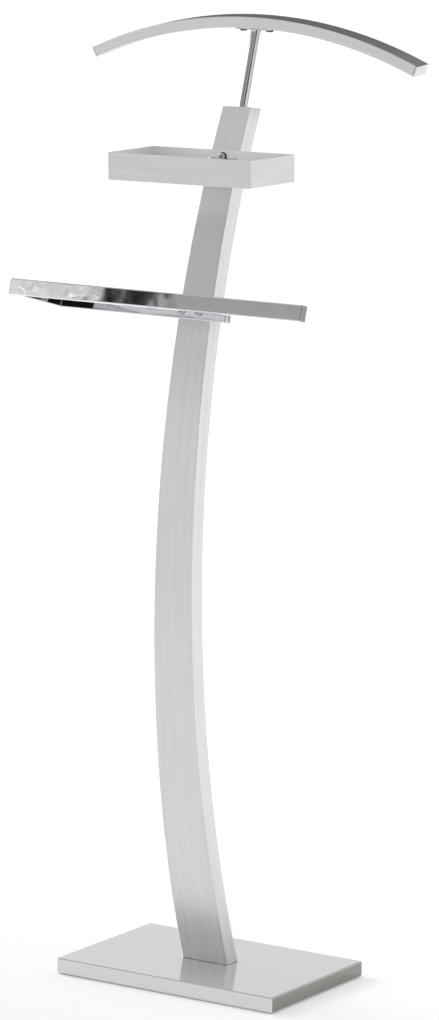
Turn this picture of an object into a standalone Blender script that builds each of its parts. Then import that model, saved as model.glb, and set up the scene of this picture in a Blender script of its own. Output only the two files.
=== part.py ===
"""Valet stand: a weighted rectangular base, a curved and tapered column, a small open tray,
a U-shaped trouser rail and an arched jacket hanger that turns on a leaning post.

Metres, +Z up. The origin is on the floor under the middle of the base, +X runs along the
base's long side to the right, and +Y runs to the back.
"""

import math

import bmesh
import bpy
from mathutils import Matrix, Vector

ORIGIN = (0.0, 0.0, 0.0)
GAP = 0.0003  # air left between two pieces that touch
SCREW_SIDES = 24  # facets round a turned piece
TRIM_BLOCK = 0.2  # side of a cube that trims a piece along one of its faces

# Base: a pressed steel cover over a weight, closed below by a board and a foam pad.
BASE_LENGTH = 0.300
BASE_WIDTH = 0.184
COVER_HEIGHT = 0.017
COVER_WALL = 0.0010
COVER_CORNER = 0.0018
COVER_EDGE = 0.0012
PAD_THICKNESS = 0.0015
BOARD_THICKNESS = 0.003
COVER_RIM = PAD_THICKNESS + GAP
COVER_TOP = COVER_RIM + COVER_HEIGHT
WEIGHT_LENGTH = 0.250
WEIGHT_WIDTH = 0.140
BOLT_SPACING = 0.040
BOLT_RADIUS = 0.004
BOLT_HEAD_RADIUS = 0.007
BOLT_HEAD_HEIGHT = 0.0044
BOLT_LENGTH = 0.0235
BOLT_WASHER_RADIUS = 0.0085
BOLT_WASHER_THICKNESS = 0.0016
COUNTERBORE_RADIUS = 0.0105
COUNTERBORE_DEPTH = 0.007
BOARD_SCREW_INSET = 0.020

# Column: a rectangular tube bent to one arc in the Y-Z plane, its width tapering upwards.
ARC_RADIUS = 1.365  # of the front face
ARC_BACK = 1.2983  # Y of the arc's centre
ARC_HEIGHT = 0.4099  # Z of the arc's centre, where the column stands upright
COLUMN_DEPTH = 0.022
COLUMN_FOOT_WIDTH = 0.0627
COLUMN_TOP_WIDTH = 0.0380
COLUMN_WALL = 0.0015
COLUMN_CORNER = 0.0018
COLUMN_STEPS = 40
COLUMN_FOOT_MIDDLE = 0.0002  # Y of the column's middle where it meets the base
COLUMN_TOP = (0.0, 0.0646, 0.9938)  # front edge of the finished top
TOP_SLOPE = math.radians(9.0)  # the top falls this much towards the back
CAP_DEPTH = 0.0145  # of the plug that closes the top
RIVET_RADIUS = 0.0035
FOOT_BLOCK_SIZE = (0.054, 0.014, 0.012)

# Tray: a folded sheet box, level, with a cut-out in which the leaning column sits.
TRAY_LENGTH = 0.194
TRAY_DEPTH = 0.088
TRAY_HEIGHT = 0.031
TRAY_WALL = 0.0012
TRAY_CORNER = 0.0022
TRAY_EDGE = 0.0015
TRAY_BACK = 0.0392
TRAY_BOTTOM = 0.916
TRAY_SCREW_HEIGHT = 0.940
TRAY_SCREW_HOLE = 0.0024
TRAY_WASHER_THICKNESS = 0.0008
NOTCH_TOP = 0.938
NOTCH_FRONT = 0.0298

# Trouser rail: a flat tube mitred and welded to a U, square to the column's leaning face.
RAIL_HEIGHT_ON_COLUMN = 0.7698
RAIL_REACH = 0.1008  # from the column's face to the rail's front face
RAIL_LEFT = -0.1875
RAIL_FRONT_END = 0.2100
RAIL_REAR_END = 0.0500
RAIL_TALL = 0.018
RAIL_THICK = 0.0085
RAIL_WALL = 0.0010
RAIL_EDGE = 0.0013
RAIL_OUTER_CORNER = 0.0025
RAIL_INNER_CORNER = 0.0010
RAIL_TILT = math.radians(0.5)  # play in its two screws lets the long side drop
RAIL_CAP = 0.0015
RAIL_PLUG = 0.009
RAIL_SCREW_HOLE = 0.0028
RAIL_SCREW_SPACING = 0.024
RIVET_FLANGE = 0.0008
RIVET_LENGTH = 0.010
RAIL_STAND_OFF = RIVET_FLANGE + 2 * GAP

# Hanger: an arched flat tube on a post that leans back and turns in the column's top.
POST_FOOT = (0.0, 0.0774, 0.9918)
POST_LEAN = math.radians(17.8)
POST_RADIUS = 0.0055
POST_LENGTH = 0.0932  # from the column's top to the hanger's underside, along the post
POST_SHOULDER = 0.004  # depth of the thick part inside the cap
SPIGOT_RADIUS = 0.003
SPIGOT_END = 0.019
BUSH_LENGTH = 0.0097
BUSH_RADIUS = 0.0050
BUSH_FLANGE = 0.0012
HANGER_TURN = math.radians(3.8)  # how far it is turned on its post at rest
HANGER_PITCH = math.radians(21.4)  # from square with the post to nearly level
HANGER_RADIUS = 0.532  # of the top face
HANGER_HALF_ANGLE = math.radians(23.7)
HANGER_TALL = 0.0127
HANGER_DEPTH = 0.0268
HANGER_WALL = 0.0008
HANGER_EDGE = 0.0010
HANGER_STEPS = 40
HANGER_CAP = 0.002
HANGER_PLUG = 0.008
SADDLE_THICKNESS = 0.0016
SADDLE_LENGTH = 0.044
SADDLE_WIDTH = 0.020
HANGER_SCREW_SPACING = 0.034
HANGER_SCREW_HOLE = 0.0025


def remove_scene_objects():
    for old in list(bpy.data.objects):
        bpy.data.objects.remove(old, do_unlink=True)


def new_collection(name):
    made = bpy.data.collections.new(name)
    bpy.context.scene.collection.children.link(made)
    return made


def finish(name, colour, metallic, roughness):
    """A Principled material in one colour."""
    material = bpy.data.materials.new(name)
    material.use_nodes = True
    shader = material.node_tree.nodes["Principled BSDF"]
    shader.inputs["Base Color"].default_value = (*colour, 1.0)
    shader.inputs["Metallic"].default_value = metallic
    shader.inputs["Roughness"].default_value = roughness
    material.diffuse_color = (*colour, 1.0)
    return material


remove_scene_objects()
STAND = new_collection("valet_stand")
CUTTERS = new_collection("valet_stand_cutters")


def empty(name, location, rotation=ORIGIN, parent=None):
    """A named place that pieces are parented to."""
    made = bpy.data.objects.new(name, None)
    made.location = location
    made.rotation_euler = rotation
    made.parent = parent
    made.empty_display_size = 0.02
    STAND.objects.link(made)
    return made


def add_object(name, bm, material, parent=None, collection=None):
    """Turns an edit mesh into an object, shaded smooth except at its edges."""
    mesh = bpy.data.meshes.new(name)
    bm.to_mesh(mesh)
    bm.free()
    mesh.shade_smooth()
    mesh.set_sharp_from_angle(angle=math.radians(30))
    made = bpy.data.objects.new(name, mesh)
    if material:
        mesh.materials.append(material)
    made.parent = parent
    (collection or STAND).objects.link(made)
    return made


def as_cutter(obj):
    """Hides a tool body that only shapes another piece."""
    obj.hide_render = True
    obj.display_type = "WIRE"
    return obj


def boolean(target, tool, operation="DIFFERENCE"):
    modifier = target.modifiers.new(f"{operation.lower()} {tool.name}", "BOOLEAN")
    modifier.operation = operation
    modifier.object = tool
    modifier.solver = "EXACT"


def bevel(obj, width):
    """Rounds the edges where two faces meet at more than 60 degrees."""
    modifier = obj.modifiers.new("edges", "BEVEL")
    modifier.width = width
    modifier.segments = 2
    modifier.limit_method = "ANGLE"
    modifier.angle_limit = math.radians(60.0)


def wall(obj, thickness):
    """Gives an open surface a wall on its inner side."""
    modifier = obj.modifiers.new("wall", "SOLIDIFY")
    modifier.thickness = thickness
    modifier.offset = -1.0
    modifier.use_even_offset = True


def box_mesh(size, centre=ORIGIN):
    bm = bmesh.new()
    matrix = Matrix.Translation(centre) @ Matrix.Diagonal((*size, 1.0))
    bmesh.ops.create_cube(bm, size=1.0, matrix=matrix)
    return bm


def rounded_plate(name, size, centre, corner, material):
    """A flat board with its four upright corners rounded."""
    bm = box_mesh(size, centre)
    uprights = [e for e in bm.edges if abs(e.verts[0].co.z - e.verts[1].co.z) > size[2] / 2]
    bmesh.ops.bevel(bm, geom=uprights, offset=corner, segments=4, affect="EDGES", profile=0.5)
    return add_object(name, bm, material)


def cylinder_mesh(radius, low, high, sides=SCREW_SIDES, top_radius=None):
    """A round bar along +Z from low to high, tapered if top_radius is given."""
    bm = bmesh.new()
    bmesh.ops.create_cone(
        bm,
        cap_ends=True,
        segments=sides,
        radius1=radius,
        radius2=radius if top_radius is None else top_radius,
        depth=high - low,
        matrix=Matrix.Translation((0.0, 0.0, (low + high) / 2)),
    )
    return bm


def drill(target, name, radius, low, high, place=ORIGIN, turn=ORIGIN, parent=None, **shape):
    """Cuts a round hole along the local +Z of a place."""
    tool = add_object(name, cylinder_mesh(radius, low, high, **shape), None, parent, CUTTERS)
    tool.location = place
    tool.rotation_euler = turn
    boolean(target, as_cutter(tool))


def mill(target, name, size, centre, turn=ORIGIN, parent=None):
    """Cuts a box away from a piece."""
    tool = add_object(name, box_mesh(size), None, parent, CUTTERS)
    tool.location = centre
    tool.rotation_euler = turn
    boolean(target, as_cutter(tool))


def turned(name, profile, material, parent=None):
    """Spins (radius, height) points round Z. The profile runs down the outer side."""
    bm = bmesh.new()
    points = [bm.verts.new((radius, 0.0, height)) for radius, height in profile]
    for first, second in zip(points, points[1:]):
        bm.edges.new((first, second))
    mesh = bpy.data.meshes.new(name)
    bm.to_mesh(mesh)
    bm.free()
    mesh.materials.append(material)
    made = bpy.data.objects.new(name, mesh)
    made.parent = parent
    STAND.objects.link(made)
    spin = made.modifiers.new("turned", "SCREW")
    spin.steps = SCREW_SIDES
    spin.render_steps = SCREW_SIDES
    spin.use_merge_vertices = True
    spin.merge_threshold = 0.0001
    spin.use_smooth_shade = True
    return made


def ring_profile(inner, outer, low, high):
    """A closed rectangle, for washers, bushes and clips."""
    return [(inner, high), (outer, high), (outer, low), (inner, low), (inner, high)]


def screw_profile(head_radius, head_height, shank_radius, length):
    """A domed head above z = 0 and a shank that ends in a chamfer below it."""
    dome = [
        (head_radius * math.sin(angle), head_height * (0.45 + 0.55 * math.cos(angle)))
        for angle in (math.radians(step) for step in (0, 30, 55, 75, 90))
    ]
    tip = 0.7 * shank_radius
    return dome + [
        (head_radius, 0.0),
        (shank_radius, 0.0),
        (shank_radius, -length + tip),
        (shank_radius - tip, -length),
        (0.0, -length),
    ]


def socket_screw(name, head_radius, head_height, shank_radius, length, material, parent=None):
    """A button-head screw with a hexagon socket, its head standing on its parent's z = 0."""
    profile = screw_profile(head_radius, head_height, shank_radius, length)
    made = turned(name, profile, material, parent)
    tool_bm = cylinder_mesh(0.45 * head_radius, 0.35 * head_height, 2 * head_height, sides=6)
    tool = add_object(f"{name}_socket", tool_bm, None, made, CUTTERS)
    boolean(made, as_cutter(tool))
    return made


def open_box(name, size, corner, edge, thickness, material, open_side):
    """A folded or pressed sheet box without the face on open_side (+1 top, -1 bottom)."""
    bm = box_mesh(size)
    uprights = [e for e in bm.edges if abs(e.verts[0].co.z - e.verts[1].co.z) > size[2] / 2]
    bmesh.ops.bevel(bm, geom=uprights, offset=corner, segments=4, affect="EDGES", profile=0.5)
    closed_end = -open_side * size[2] / 2
    around = [e for e in bm.edges if all(abs(v.co.z - closed_end) < 1e-6 for v in e.verts)]
    bmesh.ops.bevel(bm, geom=around, offset=edge, segments=3, affect="EDGES", profile=0.5)
    opening = [f for f in bm.faces if f.normal.z * open_side > 0.9]
    bmesh.ops.delete(bm, geom=opening, context="FACES")
    made = add_object(name, bm, material)
    wall(made, thickness)
    return made


def stepped_box(steps, along):
    """A unit cube cut across into equal slices along one axis, ready to be bent."""
    bm = box_mesh((1.0, 1.0, 1.0))
    normal = Vector((0.0, 0.0, 0.0))
    normal[along] = 1.0
    for step in range(1, steps):
        bmesh.ops.bisect_plane(
            bm,
            geom=bm.verts[:] + bm.edges[:] + bm.faces[:],
            plane_co=normal * (step / steps - 0.5),
            plane_no=normal,
        )
    return bm


def column_width(height):
    share = (height - COVER_TOP) / (COLUMN_TOP[2] - COVER_TOP)
    return COLUMN_FOOT_WIDTH + share * (COLUMN_TOP_WIDTH - COLUMN_FOOT_WIDTH)


def on_column(side, back, angle, inset):
    """A point of the column's form: side and back run from -1 to 1, angle is up the arc."""
    middle = ARC_RADIUS - COLUMN_DEPTH / 2
    height = ARC_HEIGHT + middle * math.sin(angle)
    radius = middle - back * (COLUMN_DEPTH / 2 - inset)
    return Vector(
        (
            side * (column_width(height) / 2 - inset),
            ARC_BACK - radius * math.cos(angle),
            ARC_HEIGHT + radius * math.sin(angle),
        )
    )


def column_lean(height):
    """How far the front face leans back at a height."""
    return math.asin((height - ARC_HEIGHT) / ARC_RADIUS)


def column_face(height):
    """Y of the front face at a height."""
    return ARC_BACK - ARC_RADIUS * math.cos(column_lean(height))


def column_form(name, inset, low, high, steps, material):
    """A bent and tapered bar between two angles on the arc."""
    bm = stepped_box(steps, 2)
    for vert in bm.verts:
        angle = low + (vert.co.z + 0.5) * (high - low)
        vert.co = on_column(2 * vert.co.x, 2 * vert.co.y, angle, inset)
    return add_object(name, bm, material)


def trim_top(target, name, offset, keep_below=True):
    """Cuts a piece along the sloping plane of the column's top, moved down by offset."""
    upwards = Vector((0.0, math.sin(TOP_SLOPE), math.cos(TOP_SLOPE)))
    side = TRIM_BLOCK / 2 if keep_below else -TRIM_BLOCK / 2
    centre = Vector(COLUMN_TOP) + upwards * (side - offset)
    mill(target, name, (TRIM_BLOCK,) * 3, centre, (-TOP_SLOPE, 0.0, 0.0))


def arched_bar(name, inner, outer, half_angle, depth, steps, material, parent):
    """A bar arched in X-Z about a point below it, its outer face at the top."""
    bm = stepped_box(steps, 0)
    for vert in bm.verts:
        angle = 2 * vert.co.x * half_angle
        radius = (inner + outer) / 2 + vert.co.z * (outer - inner)
        across = vert.co.y * depth
        vert.co = Vector((radius * math.sin(angle), across, radius * math.cos(angle)))
    return add_object(name, bm, material, parent)


def open_ends(obj, along):
    """Removes the two flat end faces of an arched bar."""
    bm = bmesh.new()
    bm.from_mesh(obj.data)
    ends = sorted(bm.faces, key=lambda face: face.calc_center_median()[along])
    bmesh.ops.delete(bm, geom=[ends[0], ends[-1]], context="FACES")
    bm.to_mesh(obj.data)
    bm.free()


# ---------------------------------------------------------------- finishes

SATIN_SILVER = finish("satin_silver_paint", (0.58, 0.58, 0.59), 0.6, 0.38)
POLISHED_CHROME = finish("polished_chrome", (0.62, 0.63, 0.65), 1.0, 0.06)
GLOSS_SILVER = finish("gloss_silver_lacquer", (0.62, 0.62, 0.63), 0.7, 0.12)
BLACK_OXIDE = finish("black_oxide_steel", (0.03, 0.03, 0.032), 0.8, 0.35)
ZINC = finish("zinc_plated_steel", (0.55, 0.56, 0.58), 1.0, 0.3)
CAST_WEIGHT = finish("painted_weight", (0.08, 0.08, 0.085), 0.2, 0.7)
HARDBOARD = finish("black_board", (0.04, 0.04, 0.04), 0.0, 0.8)
FOAM = finish("black_foam", (0.02, 0.02, 0.02), 0.0, 0.95)
NYLON = finish("natural_nylon", (0.75, 0.73, 0.68), 0.0, 0.45)


# ---------------------------------------------------------------- base


def bolt_places():
    return [(side * BOLT_SPACING / 2, COLUMN_FOOT_MIDDLE) for side in (-1, 1)]


def board_screw_places():
    across = WEIGHT_LENGTH / 2 - BOARD_SCREW_INSET
    along = WEIGHT_WIDTH / 2 - BOARD_SCREW_INSET
    return [(x * across, y * along) for y in (-1, 1) for x in (-1, 1)]


def make_base():
    size = (BASE_LENGTH, BASE_WIDTH, COVER_HEIGHT)
    cover = open_box("base_cover", size, COVER_CORNER, COVER_EDGE, COVER_WALL, GLOSS_SILVER, -1)
    cover.location = (0.0, 0.0, COVER_RIM + COVER_HEIGHT / 2)

    inner_length = BASE_LENGTH - 2 * COVER_WALL - 4 * GAP
    inner_width = BASE_WIDTH - 2 * COVER_WALL - 4 * GAP
    board_low = COVER_RIM
    board_high = board_low + BOARD_THICKNESS
    board_size = (inner_length, inner_width, BOARD_THICKNESS)
    board_centre = (0.0, 0.0, (board_low + board_high) / 2)
    board = rounded_plate("base_bottom_board", board_size, board_centre, COVER_CORNER, HARDBOARD)

    pad_size = (BASE_LENGTH - 0.012, BASE_WIDTH - 0.012, PAD_THICKNESS)
    pad_centre = (0.0, 0.0, PAD_THICKNESS / 2)
    pad = rounded_plate("base_floor_pad", pad_size, pad_centre, COVER_CORNER, FOAM)

    weight_low = board_high + GAP
    weight_high = COVER_TOP - COVER_WALL - GAP
    weight_size = (WEIGHT_LENGTH, WEIGHT_WIDTH, weight_high - weight_low)
    weight_centre = (0.0, 0.0, (weight_low + weight_high) / 2)
    weight = add_object("base_weight", box_mesh(weight_size, weight_centre), CAST_WEIGHT)
    bevel(weight, 0.002)

    seat = weight_low + COUNTERBORE_DEPTH
    for number, (x, y) in enumerate(bolt_places(), 1):
        place = (x, y, 0.0)
        drill(pad, f"pad_hole_{number}", COUNTERBORE_RADIUS, -0.01, 0.01, place)
        drill(board, f"board_hole_{number}", COUNTERBORE_RADIUS, -0.01, 0.012, place)
        drill(weight, f"counterbore_{number}", COUNTERBORE_RADIUS, 0.0, seat, place)
        drill(weight, f"weight_hole_{number}", BOLT_RADIUS + GAP, 0.0, 0.03, place)
        drill(cover, f"cover_hole_{number}", BOLT_RADIUS + GAP, 0.010, 0.03, place)
        washer_profile = ring_profile(
            BOLT_RADIUS + GAP, BOLT_WASHER_RADIUS, -BOLT_WASHER_THICKNESS, 0.0
        )
        washer = turned(f"foot_washer_{number}", washer_profile, ZINC)
        washer.location = (x, y, seat - GAP)
        bolt = socket_screw(
            f"foot_bolt_{number}", BOLT_HEAD_RADIUS, BOLT_HEAD_HEIGHT, BOLT_RADIUS, BOLT_LENGTH, ZINC
        )
        bolt.rotation_euler = (math.pi, 0.0, 0.0)
        bolt.location = (x, y, seat - 2 * GAP - BOLT_WASHER_THICKNESS)

    for number, (x, y) in enumerate(board_screw_places(), 1):
        head, shank, head_rim = 0.0036, 0.0018, 0.0004
        place = (x, y, board_low)
        sink_low, sink_high = head_rim + GAP / 2, head_rim + GAP / 2 + head - shank
        drill(board, f"head_recess_{number}", head + GAP, -0.001, sink_low, place)
        narrow = shank + GAP
        sink = f"countersink_{number}"
        drill(board, sink, head + GAP, sink_low, sink_high, place, top_radius=narrow)
        drill(board, f"pilot_{number}", shank + GAP, -0.001, 0.01, place)
        drill(weight, f"weight_pilot_{number}", shank + GAP, -0.001, 0.011, place)
        profile = [
            (0.0, 0.0),
            (head, 0.0),
            (head, -head_rim),
            (shank, -head_rim - head + shank),
            (shank, -0.009),
            (0.0, -0.010),
        ]
        screw = turned(f"board_screw_{number}", profile, ZINC)
        screw.rotation_euler = (math.pi, 0.0, 0.0)
        screw.location = place


# ---------------------------------------------------------------- column


def make_column():
    low, high = math.radians(-17.8), math.radians(26.6)
    tube = column_form("column_tube", 0.0, low, high, COLUMN_STEPS, SATIN_SILVER)
    open_ends(tube, 2)
    bevel(tube, COLUMN_CORNER)
    wall(tube, COLUMN_WALL)
    below_foot = (0.0, 0.0, COVER_TOP + GAP - TRIM_BLOCK / 2)
    mill(tube, "foot_trim", (TRIM_BLOCK,) * 3, below_foot)
    trim_top(tube, "top_trim", 0.0)

    for number, side in enumerate((-1, 1), 1):
        x = side * RAIL_SCREW_SPACING / 2
        hole = (f"rivet_hole_{number}", RIVET_RADIUS + GAP, -0.004, 0.004)
        drill(tube, *hole, (x, 0.0, 0.0), ALONG_RAIL_BOLT, RAIL_SEAT)
    tray_hole_at = (0.0, column_face(TRAY_SCREW_HEIGHT), TRAY_SCREW_HEIGHT)
    forwards = (math.pi / 2, 0.0, 0.0)
    drill(tube, "tray_screw_hole", TRAY_SCREW_HOLE, -0.006, 0.006, tray_hole_at, forwards)

    block_low = COVER_TOP + GAP
    centre = (0.0, COLUMN_FOOT_MIDDLE, block_low + FOOT_BLOCK_SIZE[2] / 2)
    foot_block = add_object("column_foot_block", box_mesh(FOOT_BLOCK_SIZE, centre), ZINC)
    for number, (x, y) in enumerate(bolt_places(), 1):
        drill(foot_block, f"tapped_hole_{number}", BOLT_RADIUS + GAP, 0.0, 0.05, (x, y, 0.0))


def make_column_cap():
    """The closed top: a plug inside the tube, flush with its edge and bored for the post."""
    low, high = math.radians(24.0), math.radians(26.6)
    inset = COLUMN_WALL + GAP
    cap = column_form("column_top_cap", inset, low, high, 3, SATIN_SILVER)
    trim_top(cap, "cap_top_trim", 0.0)
    trim_top(cap, "cap_bottom_trim", CAP_DEPTH, keep_below=False)
    bush_top = -POST_SHOULDER - GAP
    seat_bottom = bush_top - BUSH_FLANGE - GAP
    drill(cap, "post_hole", POST_RADIUS + GAP, seat_bottom, 0.01, parent=POST_PLACE)
    drill(cap, "bush_hole", BUSH_RADIUS + GAP, -0.03, 0.0, parent=POST_PLACE)
    bore = SPIGOT_RADIUS + GAP
    bottom = bush_top - BUSH_LENGTH
    bush_profile = [
        (bore, bush_top),
        (POST_RADIUS, bush_top),
        (POST_RADIUS, bush_top - BUSH_FLANGE),
        (BUSH_RADIUS, bush_top - BUSH_FLANGE),
        (BUSH_RADIUS, bottom),
        (bore, bottom),
        (bore, bush_top),
    ]
    turned("post_bush", bush_profile, NYLON, POST_PLACE)
    return bottom


# ---------------------------------------------------------------- tray


def make_tray():
    size = (TRAY_LENGTH, TRAY_DEPTH, TRAY_HEIGHT)
    tray = open_box("tray_body", size, TRAY_CORNER, TRAY_EDGE, TRAY_WALL, SATIN_SILVER, 1)
    tray.location = (0.0, TRAY_BACK - TRAY_DEPTH / 2, TRAY_BOTTOM + TRAY_HEIGHT / 2)
    notch_width = column_width(TRAY_BOTTOM) + 4 * GAP
    notch_low, notch_back = TRAY_BOTTOM - 0.01, TRAY_BACK + 0.01
    notch_size = (notch_width, notch_back - NOTCH_FRONT, NOTCH_TOP - notch_low)
    notch_centre = (0.0, (notch_back + NOTCH_FRONT) / 2, (NOTCH_TOP + notch_low) / 2)
    mill(tray, "column_notch", notch_size, notch_centre)
    backwards = (-math.pi / 2, 0.0, 0.0)
    inner_face = TRAY_BACK - TRAY_WALL
    place = (0.0, inner_face, TRAY_SCREW_HEIGHT)
    drill(tray, "tray_hole", TRAY_SCREW_HOLE, -0.004, 0.004, place, backwards)
    forwards = (math.pi / 2, 0.0, 0.0)
    washer_profile = ring_profile(TRAY_SCREW_HOLE, 0.0050, 0.0, TRAY_WASHER_THICKNESS)
    washer = turned("tray_washer", washer_profile, BLACK_OXIDE)
    washer.location = (0.0, inner_face - GAP, TRAY_SCREW_HEIGHT)
    washer.rotation_euler = forwards
    screw = socket_screw("tray_screw", 0.0042, 0.0026, 0.0021, 0.015, ZINC)
    screw.location = (0.0, inner_face - 2 * GAP - TRAY_WASHER_THICKNESS, TRAY_SCREW_HEIGHT)
    screw.rotation_euler = forwards


# ---------------------------------------------------------------- trouser rail


def arc(centre_x, centre_y, radius, start, end, steps=6):
    """Points on a circle from one angle to another, in degrees."""
    angles = [math.radians(start + (end - start) * step / steps) for step in range(steps + 1)]
    return [(centre_x + radius * math.cos(a), centre_y + radius * math.sin(a)) for a in angles]


def rail_outline():
    """The U seen along its height: the outer side, the front end, the inner side, the rear end."""
    outer, inner = RAIL_OUTER_CORNER, RAIL_INNER_CORNER
    rear, front = -RAIL_STAND_OFF, -RAIL_REACH
    outer_x = RAIL_LEFT + outer
    inner_x = RAIL_LEFT + RAIL_THICK + inner
    front_end = RAIL_FRONT_END - RAIL_CAP - GAP
    rear_end = RAIL_REAR_END - RAIL_CAP - GAP
    points = [(rear_end, rear)]
    points += arc(outer_x, rear - outer, outer, 90, 180)
    points += arc(outer_x, front + outer, outer, 180, 270)
    points += [(front_end, front), (front_end, front + RAIL_THICK)]
    points += arc(inner_x, front + RAIL_THICK + inner, inner, 270, 180, 4)
    points += arc(inner_x, rear - RAIL_THICK - inner, inner, 180, 90, 4)
    points += [(rear_end, rear - RAIL_THICK)]
    return points


def make_rail():
    bm = bmesh.new()
    outline = [bm.verts.new((x, y, -RAIL_TALL / 2)) for x, y in rail_outline()]
    floor = bm.faces.new(outline)
    raised = bmesh.ops.extrude_face_region(bm, geom=[floor])
    lifted = [item for item in raised["geom"] if isinstance(item, bmesh.types.BMVert)]
    bmesh.ops.translate(bm, verts=lifted, vec=(0.0, 0.0, RAIL_TALL))
    bmesh.ops.recalc_face_normals(bm, faces=bm.faces)
    ends = [f for f in bm.faces if f.normal.x > 0.99 and f.calc_center_median().x > 0.0]
    bmesh.ops.delete(bm, geom=ends, context="FACES")
    rail = add_object("trouser_rail", bm, POLISHED_CHROME, RAIL_SEAT)
    bevel(rail, RAIL_EDGE)
    wall(rail, RAIL_WALL)

    rear_face = -RAIL_STAND_OFF - RAIL_THICK
    for number, side in enumerate((-1, 1), 1):
        place = (side * RAIL_SCREW_SPACING / 2, 0.0, 0.0)
        hole = (f"rail_hole_{number}", RAIL_SCREW_HOLE, 0.0, 0.012)
        drill(rail, *hole, place, ALONG_RAIL_BOLT, RAIL_SEAT)
        nut_profile = [
            (RAIL_SCREW_HOLE, GAP + RIVET_FLANGE),
            (0.0048, GAP + RIVET_FLANGE),
            (0.0048, GAP),
            (RIVET_RADIUS, GAP),
            (RIVET_RADIUS, -RIVET_LENGTH),
            (RAIL_SCREW_HOLE, -RIVET_LENGTH),
            (RAIL_SCREW_HOLE, GAP + RIVET_FLANGE),
        ]
        nut = turned(f"rail_rivet_nut_{number}", nut_profile, ZINC, RAIL_SEAT)
        nut.location = place
        nut.rotation_euler = ALONG_RAIL_BOLT
        screw = socket_screw(f"rail_screw_{number}", 0.0047, 0.0026, 0.0025, 0.020, ZINC, RAIL_SEAT)
        screw.location = (place[0], rear_face - GAP, 0.0)
        screw.rotation_euler = ALONG_RAIL_BOLT

    middle_front = -RAIL_REACH + RAIL_THICK / 2
    middle_rear = -RAIL_STAND_OFF - RAIL_THICK / 2
    rail_cap("rail_front_cap", RAIL_FRONT_END, middle_front)
    rail_cap("rail_rear_cap", RAIL_REAR_END, middle_rear)


def rail_cap(name, end, middle):
    """A plate that closes one end of the rail, with a plug drawn in from its inner face."""
    centre = (end - RAIL_CAP / 2, middle, 0.0)
    bm = box_mesh((RAIL_CAP, RAIL_THICK, RAIL_TALL), centre)
    inner = [f for f in bm.faces if f.normal.x < -0.9]
    bmesh.ops.inset_region(bm, faces=inner, thickness=RAIL_WALL + 2 * GAP, use_even_offset=True)
    drawn = bmesh.ops.extrude_face_region(bm, geom=inner)
    bmesh.ops.delete(bm, geom=inner, context="FACES_ONLY")
    pulled = [item for item in drawn["geom"] if isinstance(item, bmesh.types.BMVert)]
    bmesh.ops.translate(bm, verts=pulled, vec=(-RAIL_PLUG, 0.0, 0.0))
    cap = add_object(name, bm, POLISHED_CHROME, RAIL_SEAT)
    bevel(cap, 0.0004)


# ---------------------------------------------------------------- hanger


def make_post(bush_bottom):
    top = POST_LENGTH + 0.004
    flare = 0.0008
    profile = [
        (0.0, top),
        (POST_RADIUS + flare, top),
        (POST_RADIUS + flare, POST_LENGTH - 0.0055),
        (POST_RADIUS, POST_LENGTH - 0.0075),
        (POST_RADIUS, -POST_SHOULDER),
        (SPIGOT_RADIUS, -POST_SHOULDER),
        (SPIGOT_RADIUS, -SPIGOT_END + 0.0005),
        (SPIGOT_RADIUS - 0.0005, -SPIGOT_END),
        (0.0, -SPIGOT_END),
    ]
    post = turned("hanger_post", profile, POLISHED_CHROME, HANGER_SWIVEL)
    above_post = (0.0, 0.0, TRIM_BLOCK / 2 - SADDLE_THICKNESS - 2 * GAP)
    mill(post, "post_trim", (TRIM_BLOCK,) * 3, above_post, parent=HANGER_SEAT)
    washer_top = bush_bottom - GAP
    washer_low = washer_top - 0.0008
    bore = SPIGOT_RADIUS + GAP
    washer_profile = ring_profile(bore, 0.0052, washer_low, washer_top)
    turned("post_spring_washer", washer_profile, ZINC, HANGER_SWIVEL)
    clip_top = washer_low - GAP
    clip_profile = ring_profile(bore, 0.0048, clip_top - 0.001, clip_top)
    turned("post_retaining_clip", clip_profile, ZINC, HANGER_SWIVEL)


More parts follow.
